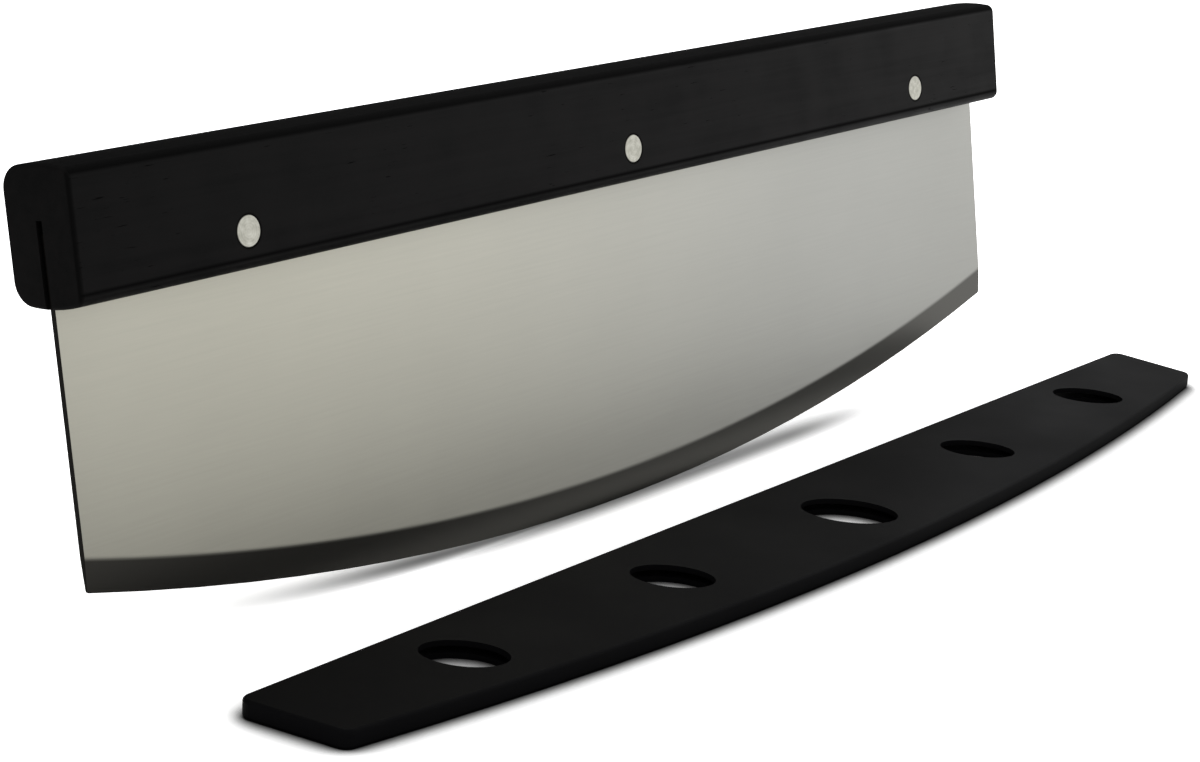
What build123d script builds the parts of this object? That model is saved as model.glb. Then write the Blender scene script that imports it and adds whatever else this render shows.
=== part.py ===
from build123d import *
from math import cos, radians, sin, sqrt
import os

# A rocking pizza knife and its blade guard, in millimetres.
# +X runs along the handle, -Y is the front, +Z is up, and z = 0 is the table.
# The origin is the middle of the cutting edge, down on the table.
# The knife leans back and rocks a little onto its left. The guard lies in front of it.

# The knife as a whole
blade_length = 355.0
lean_angle = 10.0  # degrees back from upright
rock_angle = 0.28  # degrees, with the left end down
cut_overrun = 2.0  # how far a cut runs past what it cuts

# The blade: flat sheet with a ground edge in one long arc
blade_reach = 78.4  # from the edge's lowest point to the handle's underside
blade_thickness = 1.2
edge_arc_radius = 758.0
edge_land = 0.25  # thickness left at the very edge
bevel_height = 7.0
blade_corner_radius = 0.8
tang_depth = 15.3  # how far the blade goes up into the handle

# The handle: one bar with a saw kerf from below, open at both ends
handle_height = 29.0
handle_thickness = 19.8
handle_overhang = 0.9  # past each end of the blade
crown_rise = 1.2  # of top and underside, at their middle
front_corner_radius = 2.3
back_corner_radius = 5.2
handle_end_radius = 0.9
kerf_clearance = 0.25  # beside the blade, on each side
kerf_top_gap = 2.4  # left open above the tang

# The rivets: pairs, each a post pressed into a sleeve
rivet_inset = 45.5  # of the outer rivets from the blade's ends
rivet_level = 8.8  # above the handle's underside
rivet_head_radius = 3.4
rivet_head_thickness = 1.6
rivet_head_edge_radius = 0.2
rivet_sleeve_radius = 2.5
rivet_post_radius = 1.6
rivet_fit_clearance = 0.02  # between post and sleeve, in radius
rivet_hole_clearance = 0.08  # round heads and sleeves, in radius
rivet_end_gap = 0.6  # left beyond the ends of post and sleeve

# The guard: a flat sheath with a row of holes, whose mouth is its straight side
guard_end_wall = 9.5  # beyond each end of the slot, at the mouth
guard_end_slant = 3.5  # by which each end stands further in at the front
guard_width = 43.0  # across the middle
guard_thickness = 4.2
guard_arc_radius = 1059.0
guard_corner_radius = 3.0
guard_edge_radius = 0.8
guard_shift = 20.8  # along the table from the knife's middle
guard_distance = 28.0  # from the knife's edge to the mouth
slot_clearance = 0.2  # beside the blade, on each side
slot_end_clearance = 1.0
slot_front_wall = 5.0  # between the slot's floor and the guard's front

hole_count = 5
hole_pitch = 69.0
hole_length = 19.8  # across the guard, but for its turn
hole_width = 13.8
hole_turn = 26.0  # degrees, with the far end to the left
middle_hole_length = 24.0
middle_hole_width = 17.0
middle_hole_shift = 2.4  # how far it stands nearer the front

half_length = blade_length / 2
lean = radians(lean_angle)
rock = radians(rock_angle)
along = Vector(cos(rock), sin(rock) * sin(lean), sin(rock) * cos(lean))
forward = Vector(0, -cos(lean), sin(lean))
backward = -forward

# The blade's middle plane, with the knife's height along its own y
blade_plane = Plane(origin=(0, 0, 0), x_dir=along, z_dir=forward)

kerf_depth = tang_depth + kerf_top_gap
handle_top = blade_reach + handle_height
half_handle = handle_thickness / 2
handle_length = blade_length + 2 * handle_overhang
handle_end = handle_length / 2
rivet_height = blade_reach + rivet_level
outer_rivet = half_length - rivet_inset
rivet_places = {"left": -outer_rivet, "middle": 0, "right": outer_rivet}
rivet_points = [(x, rivet_height) for x in rivet_places.values()]


def arc_rise(radius, distance):
    # how far an arc has moved off its lowest point at this distance from it
    return radius - sqrt(radius**2 - distance**2)


def section_plane(x):
    # a plane across the knife, with its own x towards the back and its y up the blade
    origin = blade_plane.from_local_coords((x, 0, 0))
    return Plane(origin=origin, x_dir=backward, z_dir=along)


def face_plane(x, height, facing):
    # a plane on the handle's face at this place, looking out of the wood
    if facing == "front":
        origin = blade_plane.from_local_coords((x, height, half_handle))
        return Plane(origin=origin, x_dir=along, z_dir=forward)
    origin = blade_plane.from_local_coords((x, height, -half_handle))
    return Plane(origin=origin, x_dir=-along, z_dir=backward)


# Blade

blade_top = blade_reach + tang_depth
edge_end_height = arc_rise(edge_arc_radius, half_length)
edge_centre = blade_plane.from_local_coords((0, edge_arc_radius, 0))
half_blade = blade_thickness / 2
half_land = edge_land / 2

with BuildPart() as blade:
    with BuildSketch(blade_plane) as blade_outline:
        with BuildLine():
            ThreePointArc((-half_length, edge_end_height), (0, 0), (half_length, edge_end_height))
            Polyline(
                (half_length, edge_end_height),
                (half_length, blade_top),
                (-half_length, blade_top),
                (-half_length, edge_end_height),
            )
        make_face()
        fillet(blade_outline.vertices(), blade_corner_radius)
    extrude(amount=half_blade, both=True)

    # each bevel is cut by a wedge turned about the centre of the edge's arc
    for side in (-1, 1):
        with BuildSketch(section_plane(0)):
            with BuildLine():
                Polyline(
                    (side * half_blade, bevel_height),
                    (side * half_land, 0),
                    (side * half_land, -cut_overrun),
                    (side * (half_blade + cut_overrun), -cut_overrun),
                    (side * (half_blade + cut_overrun), bevel_height),
                    close=True,
                )
            make_face()
        revolve(axis=Axis(edge_centre, forward), mode=Mode.SUBTRACT)

    with BuildSketch(blade_plane):
        with Locations(*rivet_points):
            Circle(rivet_sleeve_radius + rivet_hole_clearance)
    extrude(amount=blade_thickness, both=True, mode=Mode.SUBTRACT)

blade.part.label = "blade"

# Handle

top_shoulder = handle_top - crown_rise
bottom_shoulder = blade_reach + crown_rise
head_hole_radius = rivet_head_radius + rivet_hole_clearance
section_centre = blade_plane.from_local_coords((0, blade_reach, 0))

with BuildPart() as handle:
    with BuildSketch(section_plane(-handle_end)) as handle_section:
        with BuildLine():
            ThreePointArc(
                (-half_handle, top_shoulder), (0, handle_top), (half_handle, top_shoulder)
            )
            Line((half_handle, top_shoulder), (half_handle, bottom_shoulder))
            ThreePointArc(
                (half_handle, bottom_shoulder), (0, blade_reach), (-half_handle, bottom_shoulder)
            )
            Line((-half_handle, bottom_shoulder), (-half_handle, top_shoulder))
        make_face()
        fillet(handle_section.vertices().group_by(Axis.X)[0], front_corner_radius)
        fillet(handle_section.vertices().group_by(Axis.X)[-1], back_corner_radius)
    extrude(amount=handle_length)
    fillet(handle.faces().filter_by(Axis(section_centre, along)).edges(), handle_end_radius)

    with BuildSketch(section_plane(-handle_end - cut_overrun)):
        with Locations((0, blade_reach + kerf_depth)):
            Rectangle(
                blade_thickness + 2 * kerf_clearance,
                kerf_depth + cut_overrun,
                align=(Align.CENTER, Align.MAX),
            )
    extrude(amount=handle_length + 2 * cut_overrun, mode=Mode.SUBTRACT)

    with BuildSketch(blade_plane):
        with Locations(*rivet_points):
            Circle(rivet_sleeve_radius + rivet_hole_clearance)
    extrude(amount=handle_thickness, both=True, mode=Mode.SUBTRACT)
    for x, height in rivet_points:
        for facing in ("front", "back"):
            with BuildSketch(face_plane(x, height, facing)):
                Circle(head_hole_radius)
            extrude(amount=-rivet_head_thickness, mode=Mode.SUBTRACT)

handle.part.label = "handle"

# Rivets

grip_length = handle_thickness - 2 * rivet_head_thickness  # from head to head
post_length = grip_length - rivet_end_gap
sleeve_length = grip_length - rivet_end_gap


def make_rivet_post(x):
    # the half whose solid stem is pressed in from the front
    face = face_plane(x, rivet_height, "front")
    with BuildPart() as post:
        with BuildSketch(face):
            Circle(rivet_head_radius)
        extrude(amount=-rivet_head_thickness)
        fillet(post.edges().filter_by(GeomType.CIRCLE), rivet_head_edge_radius)
        with BuildSketch(face.offset(-rivet_head_thickness)):
            Circle(rivet_post_radius)
        extrude(amount=-post_length)
    return post.part


def make_rivet_sleeve(x):
    # the half whose hollow stem comes from the back and takes the post
    face = face_plane(x, rivet_height, "back")
    with BuildPart() as sleeve:
        with BuildSketch(face):
            Circle(rivet_head_radius)
        extrude(amount=-rivet_head_thickness)
        fillet(sleeve.edges().filter_by(GeomType.CIRCLE), rivet_head_edge_radius)
        with BuildSketch(face.offset(-rivet_head_thickness)):
            Circle(rivet_sleeve_radius)
            Circle(rivet_post_radius + rivet_fit_clearance, mode=Mode.SUBTRACT)
        extrude(amount=-sleeve_length)
    return sleeve.part


rivets = {}
for place, x in rivet_places.items():
    rivets[place + "_rivet_post"] = make_rivet_post(x)
    rivets[place + "_rivet_sleeve"] = make_rivet_sleeve(x)

# Guard

mouth_y = -guard_distance
half_slot = half_length + slot_end_clearance
half_guard = half_slot + guard_end_wall
guard_left = guard_shift - half_guard
guard_right = guard_shift + half_guard
guard_front = mouth_y - guard_width
half_front = half_guard - guard_end_slant
front_left = guard_shift - half_front
front_right = guard_shift + half_front
guard_end_front = guard_front + arc_rise(guard_arc_radius, half_front)

slot_height = blade_thickness + 2 * slot_clearance
slot_wall = (guard_thickness - slot_height) / 2
slot_left = guard_shift - half_slot
slot_right = guard_shift + half_slot
slot_floor = guard_front + slot_front_wall
slot_end_floor = slot_floor + arc_rise(edge_arc_radius, half_slot)

with BuildPart() as guard:
    with BuildSketch(Plane.XY) as guard_outline:
        with BuildLine():
            ThreePointArc(
                (front_left, guard_end_front), (guard_shift, guard_front), (front_right, guard_end_front)
            )
            Polyline(
                (front_right, guard_end_front),
                (guard_right, mouth_y),
                (guard_left, mouth_y),
                (front_left, guard_end_front),
            )
        make_face()
        fillet(guard_outline.vertices(), guard_corner_radius)
    extrude(amount=guard_thickness)
    fillet(guard.faces().filter_by(Axis.Z).edges(), guard_edge_radius)

    # the slot's floor follows the cutting edge, so the blade seats all along it
    with BuildSketch(Plane.XY.offset(slot_wall)):
        with BuildLine():
            ThreePointArc(
                (slot_left, slot_end_floor), (guard_shift, slot_floor), (slot_right, slot_end_floor)
            )
            Polyline(
                (slot_right, slot_end_floor),
                (slot_right, mouth_y + cut_overrun),
                (slot_left, mouth_y + cut_overrun),
                (slot_left, slot_end_floor),
            )
        make_face()
    extrude(amount=slot_height, mode=Mode.SUBTRACT)

    # the holes stand along the middle of the guard's width, all turned alike
    with BuildSketch(Plane.XY.offset(-cut_overrun)):
        for index in range(hole_count):
            steps_off_middle = index - (hole_count - 1) / 2
            hole_offset = steps_off_middle * hole_pitch
            width_here = guard_width - arc_rise(guard_arc_radius, hole_offset)
            hole_y = mouth_y - width_here / 2
            if steps_off_middle == 0:
                with Locations((guard_shift, hole_y - middle_hole_shift)):
                    Ellipse(middle_hole_width / 2, middle_hole_length / 2, rotation=hole_turn)
            else:
                with Locations((guard_shift + hole_offset, hole_y)):
                    Ellipse(hole_width / 2, hole_length / 2, rotation=hole_turn)
    extrude(amount=guard_thickness + 2 * cut_overrun, mode=Mode.SUBTRACT)

guard.part.label = "blade_guard"

os.makedirs("parts", exist_ok=True)
export_step(blade.part, "parts/blade.step")
export_step(handle.part, "parts/handle.step")
for name, rivet in rivets.items():
    rivet.label = name
    export_step(rivet, "parts/" + name + ".step")
export_step(guard.part, "parts/blade_guard.step")
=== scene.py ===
from math import cos, pi, radians, sin

import bpy
from mathutils import Matrix, Vector


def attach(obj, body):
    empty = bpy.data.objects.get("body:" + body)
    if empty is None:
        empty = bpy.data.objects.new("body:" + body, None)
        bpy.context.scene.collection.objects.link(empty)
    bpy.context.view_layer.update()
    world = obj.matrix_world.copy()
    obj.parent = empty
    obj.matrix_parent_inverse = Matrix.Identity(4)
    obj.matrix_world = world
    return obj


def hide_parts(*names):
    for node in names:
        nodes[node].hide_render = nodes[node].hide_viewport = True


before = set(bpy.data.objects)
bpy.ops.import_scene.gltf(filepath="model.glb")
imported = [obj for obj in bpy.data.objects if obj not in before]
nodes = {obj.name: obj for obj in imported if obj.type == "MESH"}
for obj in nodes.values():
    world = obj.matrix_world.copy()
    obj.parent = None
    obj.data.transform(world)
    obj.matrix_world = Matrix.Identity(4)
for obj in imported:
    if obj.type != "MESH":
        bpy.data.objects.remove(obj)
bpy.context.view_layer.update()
mm = 0.001
noiseLow, noiseHigh = 0.3, 0.7  # nearly all values of a noise texture lie between these
print("frame loaded:", len(nodes), "nodes")


# Small helpers

def addNode(tree, kind, inputs=None, **settings):
    made = tree.nodes.new(kind)
    for name, value in settings.items():
        setattr(made, name, value)
    for key, value in (inputs or {}).items():
        if isinstance(value, bpy.types.NodeSocket):
            tree.links.new(value, made.inputs[key])
        else:
            made.inputs[key].default_value = value
    return made


def hexColour(text):
    # sRGB hex to the linear values that a shader takes
    parts = [int(text[i:i + 2], 16) / 255 for i in (1, 3, 5)]
    return tuple(p / 12.92 if p <= 0.04045 else ((p + 0.055) / 1.055) ** 2.4 for p in parts) + (1,)


def newMaterial(name):
    made = bpy.data.materials.new(name)
    made.use_nodes = True
    made.node_tree.nodes.clear()
    return made, made.node_tree


def dress(piece, material):
    piece.data.materials.clear()
    piece.data.materials.append(material)


# The knife leans back and rocks a little; patterns on it follow its own directions

knifeShape = {
    "leanDegrees": 10.0,
    "rockDegrees": 0.28,
    "edgeArcRadius": 758 * mm,
    "rivetSpacing": 132 * mm,
    "rivetHeight": 87.2 * mm,
}

lean = radians(knifeShape["leanDegrees"])
rock = radians(knifeShape["rockDegrees"])
along = Vector((cos(rock), sin(rock) * sin(lean), sin(rock) * cos(lean)))
forward = Vector((0, -cos(lean), sin(lean)))
upward = forward.cross(along)
knifeTurn = Matrix((along, -forward, upward)).to_euler()
knifeTurnBack = Matrix((along, -forward, upward)).transposed().to_euler()


def knifeSpace(tree):
    # Object coordinates turned so that x runs along the knife, y to its back and z up the blade
    place = addNode(tree, "ShaderNodeTexCoord")
    return addNode(tree, "ShaderNodeMapping", {
        "Vector": place.outputs["Object"], "Rotation": knifeTurn}).outputs[0]


# Blade: stainless sheet, brushed along its length, with a ground edge

bladeFinish = {
    "warmReflectionSheet": "#C6C4B7",  # painted reflection: the left end warmer and brighter, as the light falls there
    "coolSheet": "#B7B7B2",
    "lightDriftFrom": -150 * mm,
    "lightDriftTo": 120 * mm,
    "streakShade": 0.93,
    "patchShade": 0.95,
    # the ground bevel's steel, painted dark as a reflection of shade, darker at the left
    "bevelShadeLeft": "#373633",
    "bevelShadeRight": "#504F4B",
    "roughness": (0.42, 0.48),
    "bevelRoughness": 0.28,
    "brushLength": 30 * mm,
    "brushSpacing": 0.7 * mm,  # real lines are about 0.1 mm apart, too fine to show here
    "patchSize": 60 * mm,
    "grindSpacing": 0.8 * mm,  # marks across the bevel, drawn coarser than the real ones
    "grindLength": 9 * mm,
    "bumpStrength": 0.15,
    "bumpDepth": 0.02 * mm,
    "bevelHeight": 7 * mm,
    "bevelBlend": 0.7 * mm,  # the grind runs out softly into the sheet
    "paintedShadeHeight": 76 * mm,  # painted shade: the sheet gets darker from here down to the bevel
    "paintedShadeDown": (0.62, 0.82),  # deepest painted shade at the bevel, left and right
    "cutShadeColour": "#161513",
    "cutRoughness": 0.6,
    "cutStart": 177.35 * mm,  # the cut ends lie beyond this
    "tangStart": 79 * mm,  # the tang lies above this, inside the handle
}


def brushedStainless(finish):
    # Cold-rolled stainless steel, belt-brushed: soft sheen with faint lines along it, a painted
    # warm, bright reflection at the left end and painted shade down towards the bevel, a smoother
    # ground bevel with marks across it, painted dark as a reflection of shade, and cut ends and
    # tang painted near-black as the shade in the kerf
    material, tree = newMaterial("brushed stainless steel")
    knife = knifeSpace(tree)
    across = 1 / finish["brushSpacing"]
    streakSpace = addNode(tree, "ShaderNodeMapping", {
        "Vector": knife, "Scale": (1 / finish["brushLength"], across, across)})
    streaks = addNode(tree, "ShaderNodeTexNoise", {
        "Vector": streakSpace.outputs[0], "Scale": 1.0, "Detail": 4.0, "Roughness": 0.65})
    patches = addNode(tree, "ShaderNodeTexNoise", {
        "Vector": knife, "Scale": 1 / finish["patchSize"], "Detail": 3.0, "Roughness": 0.55})
    spot = addNode(tree, "ShaderNodeSeparateXYZ", {"Vector": knife})

    # how far a point lies in from the cutting edge, measured to the centre of the edge's arc
    flat = addNode(tree, "ShaderNodeVectorMath", {0: knife, 1: (1, 0, 1)}, operation="MULTIPLY")
    reach = addNode(tree, "ShaderNodeVectorMath", {
        0: flat.outputs[0], 1: (0, 0, knifeShape["edgeArcRadius"])}, operation="DISTANCE")
    inFromEdge = addNode(tree, "ShaderNodeMath", {
        0: knifeShape["edgeArcRadius"], 1: reach.outputs["Value"]}, operation="SUBTRACT")
    onSheet = addNode(tree, "ShaderNodeMapRange", {
        "Value": inFromEdge.outputs[0],
        "From Min": finish["bevelHeight"] - finish["bevelBlend"],
        "From Max": finish["bevelHeight"] + finish["bevelBlend"]}, interpolation_type="SMOOTHSTEP")
    down = 1 / finish["grindLength"]
    grindSpace = addNode(tree, "ShaderNodeMapping", {
        "Vector": knife, "Scale": (1 / finish["grindSpacing"], down, down)})
    grind = addNode(tree, "ShaderNodeTexNoise", {
        "Vector": grindSpace.outputs[0], "Scale": 1.0, "Detail": 3.0, "Roughness": 0.6})

    # painted light from left to right: the warm, bright reflection of the left end, the bevel's
    # painted shade and the depth of the painted shade at the bevel
    lightDrift = addNode(tree, "ShaderNodeMapRange", {
        "Value": spot.outputs["X"], "From Min": finish["lightDriftFrom"], "From Max": finish["lightDriftTo"]},
        interpolation_type="SMOOTHSTEP")
    sheet = addNode(tree, "ShaderNodeMix", {
        0: lightDrift.outputs[0], 6: hexColour(finish["warmReflectionSheet"]), 7: hexColour(finish["coolSheet"])},
        data_type="RGBA")
    streakShade = addNode(tree, "ShaderNodeMapRange", {
        "Value": streaks.outputs["Fac"], "From Min": noiseLow, "From Max": noiseHigh,
        "To Min": finish["streakShade"], "To Max": 1.0})
    patchShade = addNode(tree, "ShaderNodeMapRange", {
        "Value": patches.outputs["Fac"], "From Min": noiseLow, "From Max": noiseHigh,
        "To Min": finish["patchShade"], "To Max": 1.0})
    # painted shade: the sheet darkened from high up down to the bevel, more at the left end
    low, high = finish["paintedShadeDown"]
    deepestPaintedShade = addNode(tree, "ShaderNodeMapRange", {
        "Value": lightDrift.outputs[0], "To Min": low, "To Max": high})
    paintedShadeDown = addNode(tree, "ShaderNodeMapRange", {
        "Value": inFromEdge.outputs[0],
        "From Min": finish["bevelHeight"], "From Max": finish["paintedShadeHeight"],
        "To Min": deepestPaintedShade.outputs[0], "To Max": 1.0})
    shade = addNode(tree, "ShaderNodeMath", {
        0: streakShade.outputs[0], 1: patchShade.outputs[0]}, operation="MULTIPLY")
    shade = addNode(tree, "ShaderNodeMath", {
        0: shade.outputs[0], 1: paintedShadeDown.outputs[0]}, operation="MULTIPLY")
    shaded = addNode(tree, "ShaderNodeVectorMath", {
        0: sheet.outputs[2], "Scale": shade.outputs[0]}, operation="SCALE")
    # painted reflection of shade on the ground bevel
    paintedBevel = addNode(tree, "ShaderNodeMix", {
        0: lightDrift.outputs[0], 6: hexColour(finish["bevelShadeLeft"]), 7: hexColour(finish["bevelShadeRight"])},
        data_type="RGBA")
    ground = addNode(tree, "ShaderNodeMix", {
        0: onSheet.outputs[0], 6: paintedBevel.outputs[2], 7: shaded.outputs[0]}, data_type="RGBA")

    # the sheet's two cut ends, and the tang, painted near-black as the shade in the kerf
    fromMiddle = addNode(tree, "ShaderNodeMath", {0: spot.outputs["X"]}, operation="ABSOLUTE")
    onEnd = addNode(tree, "ShaderNodeMath", {
        0: fromMiddle.outputs[0], 1: finish["cutStart"]}, operation="GREATER_THAN")
    onTang = addNode(tree, "ShaderNodeMath", {
        0: spot.outputs["Z"], 1: finish["tangStart"]}, operation="GREATER_THAN")
    onShadedCut = addNode(tree, "ShaderNodeMath", {
        0: onEnd.outputs[0], 1: onTang.outputs[0]}, operation="MAXIMUM")
    colour = addNode(tree, "ShaderNodeMix", {
        0: onShadedCut.outputs[0], 6: ground.outputs[2], 7: hexColour(finish["cutShadeColour"])},
        data_type="RGBA")

    low, high = finish["roughness"]
    sheetRoughness = addNode(tree, "ShaderNodeMapRange", {
        "Value": streaks.outputs["Fac"], "From Min": noiseLow, "From Max": noiseHigh,
        "To Min": low, "To Max": high})
    roughness = addNode(tree, "ShaderNodeMix", {
        0: onSheet.outputs[0], 2: finish["bevelRoughness"], 3: sheetRoughness.outputs[0]},
        data_type="FLOAT")
    roughness = addNode(tree, "ShaderNodeMix", {
        0: onShadedCut.outputs[0], 2: roughness.outputs[0], 3: finish["cutRoughness"]}, data_type="FLOAT")
    height = addNode(tree, "ShaderNodeMix", {
        0: onSheet.outputs[0], 2: grind.outputs["Fac"], 3: streaks.outputs["Fac"]},
        data_type="FLOAT")
    bump = addNode(tree, "ShaderNodeBump", {
        "Height": height.outputs[0], "Strength": finish["bumpStrength"],
        "Distance": finish["bumpDepth"]})
    steel = addNode(tree, "ShaderNodeBsdfPrincipled", {
        "Base Color": colour.outputs[2], "Roughness": roughness.outputs[0], "Metallic": 1.0,
        "Normal": bump.outputs[0]})
    addNode(tree, "ShaderNodeOutputMaterial", {"Surface": steel.outputs[0]})
    return material


dress(nodes["blade"], brushedStainless(bladeFinish))
print("blade dressed")


# Handle: one bar of hardwood under black stain and a thin satin lacquer

handleFinish = {
    "stainDark": "#060606",
    "stainLight": "#0C0B0B",
    "poreAndShadeColour": "#020202",
    "roughness": (0.36, 0.50),
    "nickRoughness": 0.95,
    "endRoughness": 0.8,
    "specularLevel": 0.05,
    "grainWidth": 2.2 * mm,
    "grainLength": 70 * mm,
    "patchSize": 14 * mm,
    "cloudRange": (0.75, 1.25),  # of the grain's and the patches' sum
    "nickWidth": 0.45 * mm,  # open pores, about 0.15 mm wide in the real wood
    "nickLength": 6 * mm,
    "nickSpread": 45 * mm,
    "nickGrouping": 0.35,
    "nickRange": (0.89, 0.95),
    "nickDepth": 1.5,  # times the height of the grain
    "endStart": 177.6 * mm,
    "endBlend": 0.8 * mm,
    "faceStart": 8.7 * mm,  # how far from the middle plane the long faces lie
    "faceBlend": 0.6 * mm,
    "crownStart": 104.6 * mm,  # where the front face rounds off to the top
    "crownBlend": 0.8 * mm,
    "lowLine": 81.6 * mm,  # the line along the face's lower rounding, painted dark as shade
    "lowLineHalf": 0.7 * mm,
    "seatFrom": 3.5 * mm,
    "seatTo": 4.0 * mm,
    "seatShade": 0.9,
    "bumpStrength": 0.4,
    "bumpDepth": 0.05 * mm,
}


def blackStainedWood(finish):
    # Fine hardwood, stained black and lacquered: dull cloudy sheen, faint long grain, a few
    # open pores that stay blacker, and end grain that soaks up the stain and hardly shines
    material, tree = newMaterial("black stained hardwood")
    knife = knifeSpace(tree)
    acrossGrain = 1 / finish["grainWidth"]
    grainSpace = addNode(tree, "ShaderNodeMapping", {
        "Vector": knife, "Scale": (1 / finish["grainLength"], acrossGrain, acrossGrain)})
    grain = addNode(tree, "ShaderNodeTexNoise", {
        "Vector": grainSpace.outputs[0], "Scale": 1.0, "Detail": 5.0, "Roughness": 0.6,
        "Distortion": 0.3})
    patches = addNode(tree, "ShaderNodeTexNoise", {
        "Vector": knife, "Scale": 1 / finish["patchSize"], "Detail": 2.0})
    acrossNick = 1 / finish["nickWidth"]
    nickSpace = addNode(tree, "ShaderNodeMapping", {
        "Vector": knife, "Scale": (1 / finish["nickLength"], acrossNick, acrossNick)})
    nickNoise = addNode(tree, "ShaderNodeTexNoise", {
        "Vector": nickSpace.outputs[0], "Scale": 1.0, "Detail": 1.5, "Roughness": 0.5})
    nickPlaces = addNode(tree, "ShaderNodeTexNoise", {
        "Vector": knife, "Scale": 1 / finish["nickSpread"], "Detail": 1.0})
    nickChance = addNode(tree, "ShaderNodeMath", {
        0: nickPlaces.outputs["Fac"], 1: finish["nickGrouping"], 2: nickNoise.outputs["Fac"]},
        operation="MULTIPLY_ADD")
    low, high = finish["nickRange"]
    nicks = addNode(tree, "ShaderNodeMapRange", {
        "Value": nickChance.outputs[0], "From Min": low, "From Max": high})

    spot = addNode(tree, "ShaderNodeSeparateXYZ", {"Vector": knife})
    fromMiddle = addNode(tree, "ShaderNodeMath", {0: spot.outputs["X"]}, operation="ABSOLUTE")
    onEnd = addNode(tree, "ShaderNodeMapRange", {
        "Value": fromMiddle.outputs[0],
        "From Min": finish["endStart"], "From Max": finish["endStart"] + finish["endBlend"]})

    # painted shade: dark on the rounded edges at the ends, over the crown, along the lower rounding
    # and in a ring round the rivets' heads
    beside = addNode(tree, "ShaderNodeMath", {0: spot.outputs["Y"]}, operation="ABSOLUTE")
    onFace = addNode(tree, "ShaderNodeMapRange", {
        "Value": beside.outputs[0],
        "From Min": finish["faceStart"], "From Max": finish["faceStart"] + finish["faceBlend"]})
    endEdgeShade = addNode(tree, "ShaderNodeMath", {
        0: onFace.outputs[0], 1: onEnd.outputs[0]}, operation="MULTIPLY")
    offEnd = addNode(tree, "ShaderNodeMath", {0: 1.0, 1: onEnd.outputs[0]}, operation="SUBTRACT")
    crownShade = addNode(tree, "ShaderNodeMapRange", {
        "Value": spot.outputs["Z"], "To Max": offEnd.outputs[0],
        "From Min": finish["crownStart"], "From Max": finish["crownStart"] + finish["crownBlend"]})
    offLine = addNode(tree, "ShaderNodeMath", {
        0: spot.outputs["Z"], 1: finish["lowLine"]}, operation="SUBTRACT")
    offLine = addNode(tree, "ShaderNodeMath", {0: offLine.outputs[0]}, operation="ABSOLUTE")
    lowLineShade = addNode(tree, "ShaderNodeMapRange", {
        "Value": offLine.outputs[0], "From Max": finish["lowLineHalf"],
        "To Min": onFace.outputs[0], "To Max": 0.0})
    nearest = addNode(tree, "ShaderNodeMath", {
        0: fromMiddle.outputs[0], 1: knifeShape["rivetSpacing"] / 2}, operation="SUBTRACT")
    nearest = addNode(tree, "ShaderNodeMath", {0: nearest.outputs[0]}, operation="ABSOLUTE")
    nearest = addNode(tree, "ShaderNodeMath", {
        0: knifeShape["rivetSpacing"] / 2, 1: nearest.outputs[0]}, operation="SUBTRACT")
    seatPlace = addNode(tree, "ShaderNodeCombineXYZ", {
        "X": nearest.outputs[0], "Z": spot.outputs["Z"]})
    fromSeat = addNode(tree, "ShaderNodeVectorMath", {
        0: seatPlace.outputs[0], 1: (0, 0, knifeShape["rivetHeight"])}, operation="DISTANCE")
    seatRingShade = addNode(tree, "ShaderNodeMapRange", {
        "Value": fromSeat.outputs["Value"],
        "From Min": finish["seatFrom"], "From Max": finish["seatTo"],
        "To Min": finish["seatShade"], "To Max": 0.0})
    poresAndPaintedShade = nicks
    for part in (endEdgeShade, crownShade, lowLineShade, seatRingShade):
        poresAndPaintedShade = addNode(tree, "ShaderNodeMath", {
            0: poresAndPaintedShade.outputs[0], 1: part.outputs[0]}, operation="MAXIMUM")

    cloud = addNode(tree, "ShaderNodeMath", {
        0: patches.outputs["Fac"], 1: grain.outputs["Fac"]}, operation="ADD")
    cloudLow, cloudHigh = finish["cloudRange"]
    spread = addNode(tree, "ShaderNodeMapRange", {
        "Value": cloud.outputs[0], "From Min": cloudLow, "From Max": cloudHigh})
    stain = addNode(tree, "ShaderNodeMix", {
        0: spread.outputs[0],
        6: hexColour(finish["stainDark"]), 7: hexColour(finish["stainLight"])},
        data_type="RGBA")
    # near-black on the open pores and on the painted shade
    colour = addNode(tree, "ShaderNodeMix", {
        0: poresAndPaintedShade.outputs[0], 6: stain.outputs[2], 7: hexColour(finish["poreAndShadeColour"])},
        data_type="RGBA")
    low, high = finish["roughness"]
    roughness = addNode(tree, "ShaderNodeMapRange", {
        "Value": cloud.outputs[0], "From Min": cloudLow, "From Max": cloudHigh,
        "To Min": high, "To Max": low})
    roughness = addNode(tree, "ShaderNodeMix", {
        0: poresAndPaintedShade.outputs[0], 2: roughness.outputs[0], 3: finish["nickRoughness"]},
        data_type="FLOAT")
    roughness = addNode(tree, "ShaderNodeMix", {
        0: onEnd.outputs[0], 2: roughness.outputs[0], 3: finish["endRoughness"]}, data_type="FLOAT")
    sunk = addNode(tree, "ShaderNodeMath", {
        0: nicks.outputs[0], 1: -finish["nickDepth"], 2: grain.outputs["Fac"]},
        operation="MULTIPLY_ADD")
    bump = addNode(tree, "ShaderNodeBump", {
        "Height": sunk.outputs[0], "Strength": finish["bumpStrength"],
        "Distance": finish["bumpDepth"]})
    wood = addNode(tree, "ShaderNodeBsdfPrincipled", {
        "Base Color": colour.outputs[2], "Roughness": roughness.outputs[0],
        "Specular IOR Level": finish["specularLevel"], "Normal": bump.outputs[0]})
    addNode(tree, "ShaderNodeOutputMaterial", {"Surface": wood.outputs[0]})
    return material


dress(nodes["handle"], blackStainedWood(handleFinish))
print("handle dressed")


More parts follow.
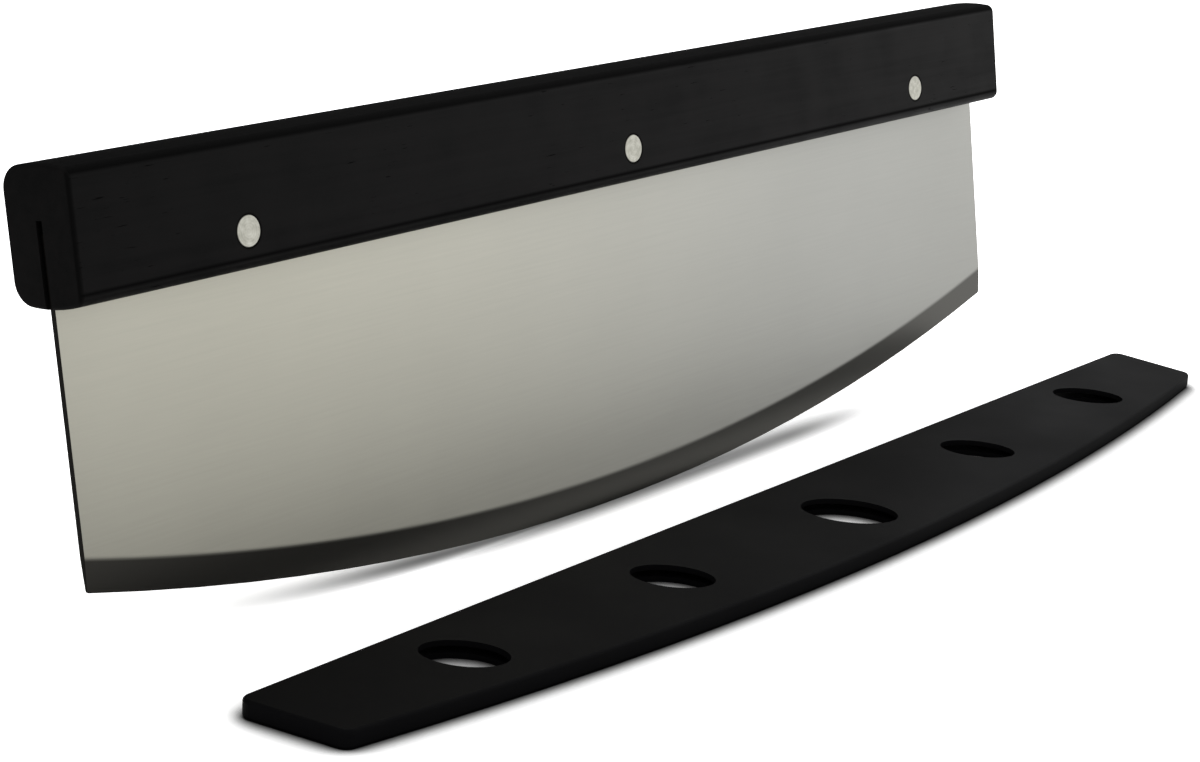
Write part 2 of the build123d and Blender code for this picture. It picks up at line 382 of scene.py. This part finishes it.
# Rivets: turned steel pairs, ground flush with the wood

rivetFinish = {
    "steelDark": "#A3A297",
    "steelLight": "#C6C5BB",
    "rimShadeColour": "#1B1A18",
    "roughness": 0.34,
    "ringSpacing": 0.6 * mm,  # turning rings, about 0.1 mm apart in the real head
    "ringShare": 0.05,
    "scuffSize": 1.1 * mm,
    "toneRange": (0.25, 0.75),
    "rimStart": 3.12 * mm,
    "rimEnd": 3.4 * mm,
    "bumpStrength": 0.1,
    "bumpDepth": 0.01 * mm,
}


def turnedSteel(finish):
    # Turned stainless, ground flush: fine rings catch the light, and the rim is painted dark as the
    # shade of the gap round the head
    material, tree = newMaterial("turned rivet steel")
    place = addNode(tree, "ShaderNodeTexCoord")
    ring = addNode(tree, "ShaderNodeAttribute", attribute_name="ringRadius")
    wave = addNode(tree, "ShaderNodeMath", {
        0: ring.outputs["Fac"], 1: 2 * pi / finish["ringSpacing"]}, operation="MULTIPLY")
    ridge = addNode(tree, "ShaderNodeMath", {0: wave.outputs[0]}, operation="SINE")
    scuffs = addNode(tree, "ShaderNodeTexNoise", {
        "Vector": place.outputs["Object"], "Scale": 1 / finish["scuffSize"], "Detail": 3.0})
    tone = addNode(tree, "ShaderNodeMath", {
        0: ridge.outputs[0], 1: finish["ringShare"], 2: scuffs.outputs["Fac"]},
        operation="MULTIPLY_ADD")
    low, high = finish["toneRange"]
    spread = addNode(tree, "ShaderNodeMapRange", {
        "Value": tone.outputs[0], "From Min": low, "From Max": high})
    face = addNode(tree, "ShaderNodeMix", {
        0: spread.outputs[0],
        6: hexColour(finish["steelDark"]), 7: hexColour(finish["steelLight"])},
        data_type="RGBA")
    # painted shade at the head's rim
    rimShade = addNode(tree, "ShaderNodeMapRange", {
        "Value": ring.outputs["Fac"], "From Min": finish["rimStart"], "From Max": finish["rimEnd"]})
    colour = addNode(tree, "ShaderNodeMix", {
        0: rimShade.outputs[0], 6: face.outputs[2], 7: hexColour(finish["rimShadeColour"])}, data_type="RGBA")
    bump = addNode(tree, "ShaderNodeBump", {
        "Height": ridge.outputs[0], "Strength": finish["bumpStrength"],
        "Distance": finish["bumpDepth"]})
    steel = addNode(tree, "ShaderNodeBsdfPrincipled", {
        "Base Color": colour.outputs[2], "Roughness": finish["roughness"], "Metallic": 1.0,
        "Normal": bump.outputs[0]})
    addNode(tree, "ShaderNodeOutputMaterial", {"Surface": steel.outputs[0]})
    return material


rivetShape = {
    "Count": 3,
    "Spacing": knifeShape["rivetSpacing"],
    "Height": knifeShape["rivetHeight"],
    "Face Distance": 9.9 * mm,
    "Head Radius": 3.4 * mm,
    "Head Thickness": 1.6 * mm,
    "Edge Radius": 0.2 * mm,
    "Stem Length": 16.0 * mm,
}
postShape = {
    "Stem Radius": 1.6 * mm,
    "Bore Radius": 0.0,
    "Bore Depth": 0.0,
    "Side": -1.0,  # set in from the front
}
sleeveShape = {
    "Stem Radius": 2.5 * mm,
    "Bore Radius": 1.62 * mm,
    "Bore Depth": 16.0 * mm,
    "Side": 1.0,  # set in from the back
}
seatSizes = ("Spacing", "Height", "Face Distance", "Side")
profileSizes = (
    "Head Radius", "Head Thickness", "Edge Radius", "Stem Length", "Stem Radius",
    "Bore Radius", "Bore Depth")
rivetSteps = 72  # facets round a head
weldDistance = 0.002 * mm  # closes the seam of the turned sheet and its two ends

# lengths of the profile: the first one plus a share of the second
profileSums = {
    "Face Radius": ("Head Radius", "Edge Radius", -1.0),
    "Corner Radius": ("Head Radius", "Edge Radius", cos(pi / 4) - 1),
    "Corner Depth": ("Axis", "Edge Radius", 1 - cos(pi / 4)),
    "Underside Edge": ("Head Thickness", "Edge Radius", -1.0),
    "Underside Corner": ("Underside Edge", "Edge Radius", cos(pi / 4)),
    "Stem End": ("Head Thickness", "Stem Length", 1.0),
    "Bore End": ("Stem End", "Bore Depth", -1.0),
}

# the profile, each spot a radius and a depth, from the middle of the face to the end of the bore
profileSpots = [
    ("Axis", "Axis"), ("Face Radius", "Axis"), ("Corner Radius", "Corner Depth"),
    ("Head Radius", "Edge Radius"), ("Head Radius", "Underside Edge"),
    ("Corner Radius", "Underside Corner"), ("Face Radius", "Head Thickness"),
    ("Stem Radius", "Head Thickness"), ("Stem Radius", "Stem End"),
    ("Bore Radius", "Stem End"), ("Bore Radius", "Bore End"), ("Axis", "Bore End"),
]


def rivetRowTree(material):
    # A row of rivets, each a profile turned about its axis, seated in one face of the handle
    tree = bpy.data.node_groups.new("rivet row", "GeometryNodeTree")
    tree.interface.new_socket("Geometry", in_out="OUTPUT", socket_type="NodeSocketGeometry")
    tree.interface.new_socket("Count", in_out="INPUT", socket_type="NodeSocketInt")
    for name in seatSizes + profileSizes:
        tree.interface.new_socket(name, in_out="INPUT", socket_type="NodeSocketFloat")
    sizes = addNode(tree, "NodeGroupInput").outputs
    lengths = {name: sizes[name] for name in profileSizes}
    lengths["Axis"] = 0.0
    for name, (base, added, share) in profileSums.items():
        total = addNode(tree, "ShaderNodeMath", {
            0: lengths[added], 1: share, 2: lengths[base]}, operation="MULTIPLY_ADD")
        lengths[name] = total.outputs[0]
    profile = []
    for radius, depth in profileSpots:
        spot = addNode(tree, "ShaderNodeCombineXYZ", {"X": lengths[radius], "Z": lengths[depth]})
        profile.append(spot.outputs[0])

    sheet = addNode(tree, "GeometryNodeMeshGrid", {
        "Vertices X": rivetSteps + 1, "Vertices Y": len(profile)})
    index = addNode(tree, "GeometryNodeInputIndex").outputs[0]
    place = addNode(tree, "ShaderNodeMath", {0: index, 1: float(len(profile))}, operation="MODULO")
    step = addNode(tree, "ShaderNodeMath", {0: index, 1: float(len(profile))}, operation="DIVIDE")
    step = addNode(tree, "ShaderNodeMath", {0: step.outputs[0]}, operation="FLOOR")
    angle = addNode(tree, "ShaderNodeMath", {
        0: step.outputs[0], 1: 2 * pi / rivetSteps}, operation="MULTIPLY")
    chosen = addNode(tree, "GeometryNodeIndexSwitch", data_type="VECTOR")
    while len(chosen.index_switch_items) < len(profile):
        chosen.index_switch_items.new()
    tree.links.new(place.outputs[0], chosen.inputs["Index"])
    for number, spot in enumerate(profile):
        tree.links.new(spot, chosen.inputs[number + 1])
    turned = addNode(tree, "ShaderNodeVectorRotate", {
        "Vector": chosen.outputs[0], "Angle": angle.outputs[0]}, rotation_type="Z_AXIS")
    lathed = addNode(tree, "GeometryNodeSetPosition", {
        "Geometry": sheet.outputs["Mesh"], "Position": turned.outputs[0]})
    distance = addNode(tree, "ShaderNodeSeparateXYZ", {"Vector": chosen.outputs[0]})
    ringed = addNode(tree, "GeometryNodeStoreNamedAttribute", {
        "Geometry": lathed.outputs[0], "Name": "ringRadius", "Value": distance.outputs["X"]},
        data_type="FLOAT", domain="POINT")
    closed = addNode(tree, "GeometryNodeMergeByDistance", {
        "Geometry": ringed.outputs[0], "Distance": weldDistance})
    rivet = addNode(tree, "GeometryNodeSetShadeSmooth", {
        "Geometry": closed.outputs[0], "Shade Smooth": False})

    # seats: a line of points along the knife on one face, then the knife's own lean
    first = addNode(tree, "ShaderNodeMath", {0: sizes["Count"], 1: -1.0}, operation="ADD")
    first = addNode(tree, "ShaderNodeMath", {
        0: first.outputs[0], 1: sizes["Spacing"]}, operation="MULTIPLY")
    first = addNode(tree, "ShaderNodeMath", {0: first.outputs[0], 1: -0.5}, operation="MULTIPLY")
    faceAt = addNode(tree, "ShaderNodeMath", {
        0: sizes["Face Distance"], 1: sizes["Side"]}, operation="MULTIPLY")
    start = addNode(tree, "ShaderNodeCombineXYZ", {
        "X": first.outputs[0], "Y": faceAt.outputs[0], "Z": sizes["Height"]})
    pitch = addNode(tree, "ShaderNodeCombineXYZ", {"X": sizes["Spacing"]})
    seats = addNode(tree, "GeometryNodeMeshLine", {
        "Count": sizes["Count"], "Start Location": start.outputs[0], "Offset": pitch.outputs[0]})
    tilt = addNode(tree, "ShaderNodeMath", {0: sizes["Side"], 1: pi / 2}, operation="MULTIPLY")
    turn = addNode(tree, "ShaderNodeCombineXYZ", {"X": tilt.outputs[0]})
    row = addNode(tree, "GeometryNodeInstanceOnPoints", {
        "Points": seats.outputs[0], "Instance": rivet.outputs[0], "Rotation": turn.outputs[0]})
    leaning = addNode(tree, "GeometryNodeTransform", {
        "Geometry": row.outputs[0], "Rotation": knifeTurnBack})
    real = addNode(tree, "GeometryNodeRealizeInstances", {"Geometry": leaning.outputs[0]})
    finished = addNode(tree, "GeometryNodeSetMaterial", {
        "Geometry": real.outputs[0], "Material": material})
    addNode(tree, "NodeGroupOutput", {"Geometry": finished.outputs[0]})
    return tree


def makeRow(name, tree, sizes, stands):
    # runs the tree on an empty mesh and keeps the result as a plain mesh
    seed = bpy.data.objects.new(name, bpy.data.meshes.new(name + "_seed"))
    bpy.context.scene.collection.objects.link(seed)
    modifier = seed.modifiers.new("row", "NODES")
    modifier.node_group = tree
    for item in tree.interface.items_tree:
        if item.in_out == "INPUT":
            modifier[item.identifier] = sizes[item.name]
    graph = bpy.context.evaluated_depsgraph_get()
    made = bpy.data.meshes.new_from_object(seed.evaluated_get(graph))
    seed.modifiers.clear()
    seed.data = made
    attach(seed, "knife")
    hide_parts(*stands)
    return seed


rivetTree = rivetRowTree(turnedSteel(rivetFinish))
places = ("left", "middle", "right")
posts = makeRow(
    "rivet_posts", rivetTree, rivetShape | postShape, [p + "_rivet_post" for p in places])
sleeves = makeRow(
    "rivet_sleeves", rivetTree, rivetShape | sleeveShape, [p + "_rivet_sleeve" for p in places])
print("rivets made:", len(posts.data.polygons) + len(sleeves.data.polygons), "faces")


# Guard: moulded plastic with a fine mould texture

guardFinish = {
    "plasticDark": "#040405",
    "plasticLight": "#070708",
    "roughness": (0.50, 0.60),
    "specularLevel": 0.03,
    "textureSize": 0.45 * mm,  # mould texture, about 0.15 mm in the real surface
    "flowSize": 40 * mm,
    "bumpStrength": 0.2,
    "bumpDepth": 0.03 * mm,
}


def mouldedPlastic(finish):
    # Injection-moulded polypropylene from a lightly eroded mould: even satin black
    material, tree = newMaterial("moulded black polypropylene")
    place = addNode(tree, "ShaderNodeTexCoord")
    texture = addNode(tree, "ShaderNodeTexNoise", {
        "Vector": place.outputs["Object"], "Scale": 1 / finish["textureSize"], "Detail": 2.0})
    flow = addNode(tree, "ShaderNodeTexNoise", {
        "Vector": place.outputs["Object"], "Scale": 1 / finish["flowSize"], "Detail": 3.0})
    colour = addNode(tree, "ShaderNodeMix", {
        0: flow.outputs["Fac"],
        6: hexColour(finish["plasticDark"]), 7: hexColour(finish["plasticLight"])},
        data_type="RGBA")
    low, high = finish["roughness"]
    roughness = addNode(tree, "ShaderNodeMapRange", {
        "Value": flow.outputs["Fac"], "From Min": noiseLow, "From Max": noiseHigh,
        "To Min": low, "To Max": high})
    bump = addNode(tree, "ShaderNodeBump", {
        "Height": texture.outputs["Fac"], "Strength": finish["bumpStrength"],
        "Distance": finish["bumpDepth"]})
    plastic = addNode(tree, "ShaderNodeBsdfPrincipled", {
        "Base Color": colour.outputs[2], "Roughness": roughness.outputs[0],
        "Specular IOR Level": finish["specularLevel"], "Normal": bump.outputs[0]})
    addNode(tree, "ShaderNodeOutputMaterial", {"Surface": plastic.outputs[0]})
    return material


dress(nodes["blade_guard"], mouldedPlastic(guardFinish))
print("guard dressed")


# Floor, light and camera

studio = {
    "floorHalf": 4.0,
    "floorDrop": 0.03 * mm,
    "floorColour": 0.8,
    "floorSeenColour": 1.9,  # what the camera sees, so that the floor reads white
    "floorMirrorColour": 1.05,  # what metal and gloss see of it
    "contactReach": 18 * mm,
    "contactDepth": 3.8,
    "contactFrom": -18 * mm,  # across the floor, from the guard's side to the knife's
    "contactTo": -10 * mm,
    "edgeShadeWidth": 9 * mm,  # the soft shade of the cutting edge, thrown a little back
    "edgeShadeDepth": 0.85,
    "edgeShadeFrom": 70 * mm,
    "edgeShadeTo": 150 * mm,
    "edgeShadeBend": 0.86,  # per metre, by which the shade bows back on the left
    "skyLight": 0.95,
    "skySeen": 1.0,  # by the camera and in reflections
}

floorMesh = bpy.data.meshes.new("floor")
half, drop = studio["floorHalf"], -studio["floorDrop"]
floorMesh.from_pydata(
    [(-half, -half, drop), (half, -half, drop), (half, half, drop), (-half, half, drop)],
    [], [(0, 1, 2, 3)])
floor = bpy.data.objects.new("floor", floorMesh)
bpy.context.scene.collection.objects.link(floor)

floorMaterial, tree = newMaterial("white paper sweep")
path = addNode(tree, "ShaderNodeLightPath")
mirrored = addNode(tree, "ShaderNodeMath", {
    0: path.outputs["Is Glossy Ray"], 1: path.outputs["Is Transmission Ray"]},
    operation="ADD", use_clamp=True)

# contact shade round the guard, by what stands near the floor
near = addNode(tree, "ShaderNodeAmbientOcclusion", {"Distance": studio["contactReach"]}, samples=16)
contact = addNode(tree, "ShaderNodeMath", {
    0: near.outputs["AO"], 1: studio["contactDepth"]}, operation="POWER")
place = addNode(tree, "ShaderNodeTexCoord")
spot = addNode(tree, "ShaderNodeSeparateXYZ", {"Vector": place.outputs["Object"]})
contact = addNode(tree, "ShaderNodeMapRange", {
    "Value": spot.outputs["Y"], "From Min": studio["contactFrom"], "From Max": studio["contactTo"],
    "To Min": contact.outputs[0], "To Max": 1.0}, interpolation_type="SMOOTHSTEP")
seenGrey = addNode(tree, "ShaderNodeMix", {
    0: mirrored.outputs[0], 2: studio["floorSeenColour"], 3: studio["floorMirrorColour"]},
    data_type="FLOAT")
seenGrey = addNode(tree, "ShaderNodeMath", {
    0: contact.outputs[0], 1: seenGrey.outputs[0]}, operation="MULTIPLY")

# the cutting edge's soft shade, a band along X that bows back on the left
onLeft = addNode(tree, "ShaderNodeMath", {0: spot.outputs["X"], 1: 0.0}, operation="MINIMUM")
bow = addNode(tree, "ShaderNodeMath", {
    0: onLeft.outputs[0], 1: onLeft.outputs[0]}, operation="MULTIPLY")
beside = addNode(tree, "ShaderNodeMath", {
    0: bow.outputs[0], 1: -studio["edgeShadeBend"], 2: spot.outputs["Y"]}, operation="MULTIPLY_ADD")
beside = addNode(tree, "ShaderNodeMath", {0: beside.outputs[0]}, operation="ABSOLUTE")
beside = addNode(tree, "ShaderNodeMapRange", {
    "Value": beside.outputs[0], "From Min": 0.0, "From Max": studio["edgeShadeWidth"],
    "To Min": studio["edgeShadeDepth"], "To Max": 0.0}, interpolation_type="SMOOTHSTEP")
beyond = addNode(tree, "ShaderNodeMath", {0: spot.outputs["X"]}, operation="ABSOLUTE")
beyond = addNode(tree, "ShaderNodeMapRange", {
    "Value": beyond.outputs[0],
    "From Min": studio["edgeShadeFrom"], "From Max": studio["edgeShadeTo"],
    "To Min": 1.0, "To Max": 0.0}, interpolation_type="SMOOTHSTEP")
edgeShade = addNode(tree, "ShaderNodeMath", {
    0: beside.outputs[0], 1: beyond.outputs[0]}, operation="MULTIPLY")
edgeLight = addNode(tree, "ShaderNodeMath", {0: 1.0, 1: edgeShade.outputs[0]}, operation="SUBTRACT")
seenGrey = addNode(tree, "ShaderNodeMath", {
    0: seenGrey.outputs[0], 1: edgeLight.outputs[0]}, operation="MULTIPLY")
seen = addNode(tree, "ShaderNodeMath", {
    0: mirrored.outputs[0], 1: path.outputs["Is Camera Ray"]}, operation="ADD", use_clamp=True)
grey = addNode(tree, "ShaderNodeMix", {
    0: seen.outputs[0], 2: studio["floorColour"], 3: seenGrey.outputs[0]}, data_type="FLOAT")
paper = addNode(tree, "ShaderNodeBsdfDiffuse", {"Color": grey.outputs[0]})
addNode(tree, "ShaderNodeOutputMaterial", {"Surface": paper.outputs[0]})
dress(floor, floorMaterial)

# a dark card behind the object that only reflections see
cardSet = {"left": -2.5, "right": 2.9, "back": 1.6, "top": 1.5, "colour": 0.02}
left, right, back, top = (cardSet[side] for side in ("left", "right", "back", "top"))
cardMesh = bpy.data.meshes.new("card")
cardMesh.from_pydata(
    [(left, back, 0), (right, back, 0), (right, back, top), (left, back, top)],
    [], [(0, 1, 2, 3)])
card = bpy.data.objects.new("card", cardMesh)
bpy.context.scene.collection.objects.link(card)
card.visible_camera = False
card.visible_diffuse = False
card.visible_shadow = False
cardMaterial, tree = newMaterial("black card")
matte = addNode(tree, "ShaderNodeBsdfDiffuse", {"Color": (cardSet["colour"],) * 3 + (1,)})
addNode(tree, "ShaderNodeOutputMaterial", {"Surface": matte.outputs[0]})
dress(card, cardMaterial)

world = bpy.data.worlds.new("studio")
world.use_nodes = True
bpy.context.scene.world = world
tree = world.node_tree
tree.nodes.clear()
path = addNode(tree, "ShaderNodeLightPath")
seen = addNode(tree, "ShaderNodeMath", {
    0: path.outputs["Is Camera Ray"], 1: path.outputs["Is Glossy Ray"]}, operation="ADD")
seen = addNode(tree, "ShaderNodeMath", {
    0: seen.outputs[0], 1: path.outputs["Is Transmission Ray"]}, operation="ADD", use_clamp=True)
strength = addNode(tree, "ShaderNodeMapRange", {
    "Value": seen.outputs[0], "To Min": studio["skyLight"], "To Max": studio["skySeen"]})
sky = addNode(tree, "ShaderNodeBackground", {
    "Color": (1, 1, 1, 1), "Strength": strength.outputs[0]})
addNode(tree, "ShaderNodeOutputWorld", {"Surface": sky.outputs[0]})

lampSet = {
    "softbox above": {"place": (0.1, 0.5, 1.3), "size": (1.4, 1.0), "power": 2.0},
    "softbox right": {"place": (1.2, -0.3, 0.6), "size": (0.8, 0.8), "power": 2.0},
}
for name, values in lampSet.items():
    lamp = bpy.data.lights.new(name, "AREA")
    lamp.shape = "RECTANGLE"
    lamp.size, lamp.size_y = values["size"]
    lamp.energy = values["power"]
    holder = bpy.data.objects.new(name, lamp)
    holder.location = values["place"]
    holder.rotation_euler = (-Vector(values["place"])).to_track_quat("-Z", "Y").to_euler()
    bpy.context.scene.collection.objects.link(holder)

cameraSet = {
    "place": (-0.52189, -0.37483, 0.21998),
    "turnDegrees": (73.4194, -3.5661, -52.4421),
    "lens": 81.04,
    "sensor": 36.0,
    "clipStart": 0.01,
}
camera = bpy.data.cameras.new("camera")
camera.lens = cameraSet["lens"]
camera.sensor_width = cameraSet["sensor"]
camera.sensor_fit = "HORIZONTAL"
camera.clip_start = cameraSet["clipStart"]
cameraObject = bpy.data.objects.new("camera", camera)
cameraObject.location = cameraSet["place"]
cameraObject.rotation_euler = [radians(a) for a in cameraSet["turnDegrees"]]
bpy.context.scene.collection.objects.link(cameraObject)
bpy.context.scene.camera = cameraObject
bpy.context.scene.view_settings.view_transform = "Standard"
print("studio set")
